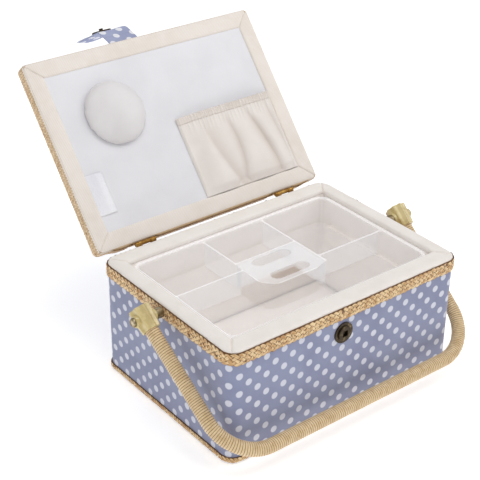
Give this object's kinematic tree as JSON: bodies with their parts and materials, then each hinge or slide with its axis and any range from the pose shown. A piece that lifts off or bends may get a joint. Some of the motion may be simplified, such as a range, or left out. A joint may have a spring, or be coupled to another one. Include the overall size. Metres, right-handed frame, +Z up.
{
  "type": "sewing box with tray",
  "caption": "Lined, fabric-covered box with a hinged padded lid, a wound carrying handle, a snap strap and a lift-out divided tray.",
  "frame": {"origin": "middle of the box's underside", "axes": "+X to the right seen from the snap side, +Y to the hinge side, +Z up"},
  "size_m": [0.2982, 0.38, 0.238],
  "materials": {
    "base_card": "matt grey board",
    "board": "plain fibreboard, hidden under the fabric",
    "dotted_fabric": "plain-weave cotton, blue-grey with pale dots",
    "cream_lining": "smooth cream lining",
    "cream_rim": "cream cotton twill over padding",
    "straw_braid": "plaited straw with darker gaps",
    "antique_brass": "dark antique finish, worn on the edges",
    "hinge_brass": "plain yellow brass",
    "screw_steel": "zinc plated",
    "cap_plastic": "pale gold, satin gloss",
    "core_plastic": "hidden core",
    "wound_cord": "twisted paper cord wound in close turns",
    "wadding": "hidden polyester wadding",
    "white_satin": "smooth white satin, soft sheen",
    "cushion_satin": "white satin stretched over filling",
    "pocket_satin": "thin cream satin, gathered",
    "elastic": "hidden elastic",
    "label_tape": "plain woven tape with no mark",
    "clear_tray": "translucent polypropylene"
  },
  "bodies": {
    "box": {"base_sheet": "base_card", "bottom_board": "board", "front_board": "board", "back_board": "board", "left_board": "board", "right_board": "board", "outer_fabric": "dotted_fabric", "lining": "cream_lining", "floor_pad": "cream_lining", "rim_front": "cream_rim", "rim_right": "cream_rim", "rim_back": "cream_rim", "rim_left": "cream_rim", "upper_braid": "straw_braid", "lower_braid": "straw_braid", "tray_ledge_left": "cream_lining", "tray_ledge_right": "cream_lining", "snap_socket": "antique_brass", "snap_washer": "antique_brass", "left_box_leaf": "hinge_brass", "right_box_leaf": "hinge_brass", "left_hinge_pin": "hinge_brass", "right_hinge_pin": "hinge_brass", "box_leaf_screws": "hinge_brass", "left_pivot_screw": "screw_steel", "right_pivot_screw": "screw_steel", "left_spacer": "cap_plastic", "right_spacer": "cap_plastic", "left_pivot_nut": "screw_steel", "right_pivot_nut": "screw_steel"},
    "lid": {"lid_board": "board", "lid_padding": "wadding", "lid_fabric": "dotted_fabric", "lid_edge_braid": "straw_braid", "lid_border": "cream_rim", "satin_panel": "white_satin", "pincushion": "cushion_satin", "pocket": "pocket_satin", "pocket_elastic": "elastic", "blank_label": "label_tape", "left_lid_leaf": "hinge_brass", "right_lid_leaf": "hinge_brass", "lid_leaf_screws": "hinge_brass", "strap_anchor": "dotted_fabric"},
    "strap_fold": {"strap_root": "dotted_fabric"},
    "strap_tip": {"strap_end": "dotted_fabric", "stud_washer": "antique_brass", "snap_stud": "antique_brass"},
    "handle": {"handle_core": "core_plastic", "handle_wrap": "wound_cord", "left_cap": "cap_plastic", "right_cap": "cap_plastic"},
    "tray": {"tray": "clear_tray"}
  },
  "joints": [
    {"name": "lid_hinge", "type": "hinge", "parent": "box", "child": "lid", "pos_m": [0, 0.0885, 0.1052], "axis": [-1, 0, 0], "range_deg": [-130, 0]},
    {"name": "handle_swing", "type": "hinge", "parent": "box", "child": "handle", "pos_m": [0, 0.0005, 0.098], "axis": [-1, 0, 0], "range_deg": [-5.5, 188]},
    {"name": "tray_lift", "type": "slide", "parent": "box", "child": "tray", "axis": [0, 0, 1], "range_m": [0, 0.035]},
    {"name": "strap_root_fold", "type": "hinge", "parent": "lid", "child": "strap_fold", "pos_m": [-0.008, 0.2141, 0.22969], "axis": [-1, 0, 0], "range_deg": [-108.79, 45]},
    {"name": "strap_tip_fold", "type": "hinge", "parent": "strap_fold", "child": "strap_tip", "pos_m": [-0.008, 0.23314, 0.23597], "axis": [-1, 0, 0], "range_deg": [-57.21, 40]}
  ]
}
